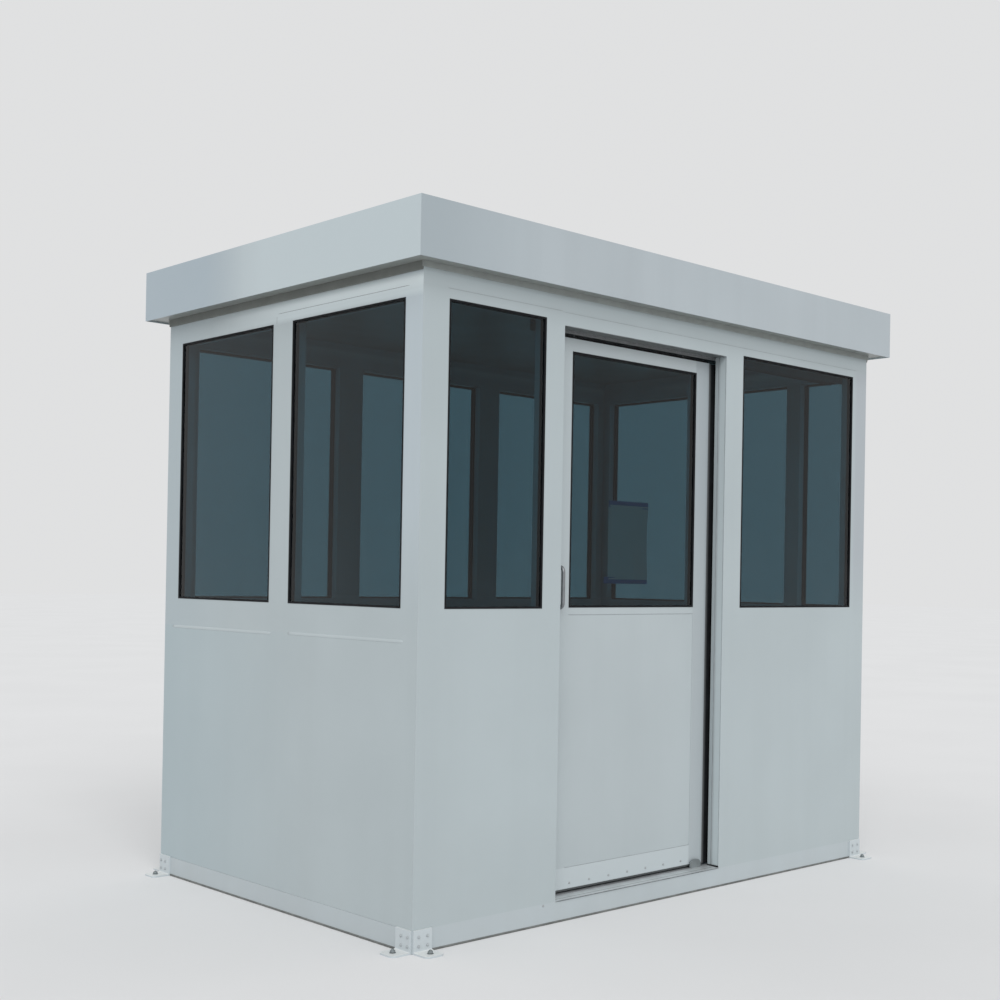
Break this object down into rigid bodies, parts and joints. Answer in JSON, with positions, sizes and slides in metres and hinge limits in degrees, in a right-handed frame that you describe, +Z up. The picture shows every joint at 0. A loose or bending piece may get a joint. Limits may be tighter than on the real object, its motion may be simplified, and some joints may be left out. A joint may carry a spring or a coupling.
{
  "type": "security guard booth",
  "caption": "Small steel guard booth with windows on all sides, a flat overhanging roof and a sliding door, on a base frame with anchor brackets.",
  "frame": {"origin": "on the ground under the middle of the booth", "axes": "+X along the door wall towards the side the door opens to, -Y out through the door, +Z up"},
  "size_m": [2.692, 1.778, 2.45],
  "materials": {
    "wall_paint": "satin grey paint",
    "door_paint": "satin grey paint",
    "roof_paint": "satin grey paint",
    "soffit_paint": "satin grey paint",
    "base_paint": "satin grey paint",
    "floor_paint": "matt tread paint",
    "sill_metal": "mill finish",
    "zinc_steel": "zinc plated",
    "dark_steel": "dark satin",
    "polished_steel": "brushed stainless",
    "tinted_glass": "clear, blue-green tint",
    "black_rubber": "matt black"
  },
  "bodies": {
    "booth": {"base_long_rails": "base_paint", "base_cross_rails": "base_paint", "floor_plate": "floor_paint", "left_lower_wall": "wall_paint", "right_lower_wall": "wall_paint", "rear_lower_wall": "wall_paint", "front_lower_wall_left": "wall_paint", "front_lower_wall_right": "wall_paint", "left_window_frame": "wall_paint", "right_window_frame": "wall_paint", "rear_window_frame": "wall_paint", "front_window_frame_left": "wall_paint", "front_window_frame_right": "wall_paint", "door_post_left": "wall_paint", "door_post_right": "wall_paint", "door_header": "wall_paint", "left_window_glass": "tinted_glass", "right_window_glass": "tinted_glass", "rear_window_glass": "tinted_glass", "front_window_glass": "tinted_glass", "left_window_gaskets": "black_rubber", "right_window_gaskets": "black_rubber", "rear_window_gaskets": "black_rubber", "front_window_gaskets": "black_rubber", "door_threshold": "sill_metal", "door_track_housing": "zinc_steel", "door_track_rails": "zinc_steel", "door_guide": "dark_steel", "roof_pan": "soffit_paint", "roof_fascia_long": "roof_paint", "roof_fascia_ends": "roof_paint", "roof_deck": "roof_paint", "anchor_brackets_front_left": "base_paint", "anchor_brackets_front_right": "base_paint", "anchor_brackets_rear_left": "base_paint", "anchor_brackets_rear_right": "base_paint"},
    "door": {"door_frame": "door_paint", "door_lower_panel": "door_paint", "door_glass": "tinted_glass", "door_glass_gasket": "black_rubber", "door_edge_seals": "black_rubber", "door_pull_handle": "polished_steel", "door_hangers": "zinc_steel"}
  },
  "joints": [
    {"name": "door_slide", "type": "slide", "parent": "booth", "child": "door", "axis": [1, 0, 0], "range_m": [0, 0.82]}
  ]
}
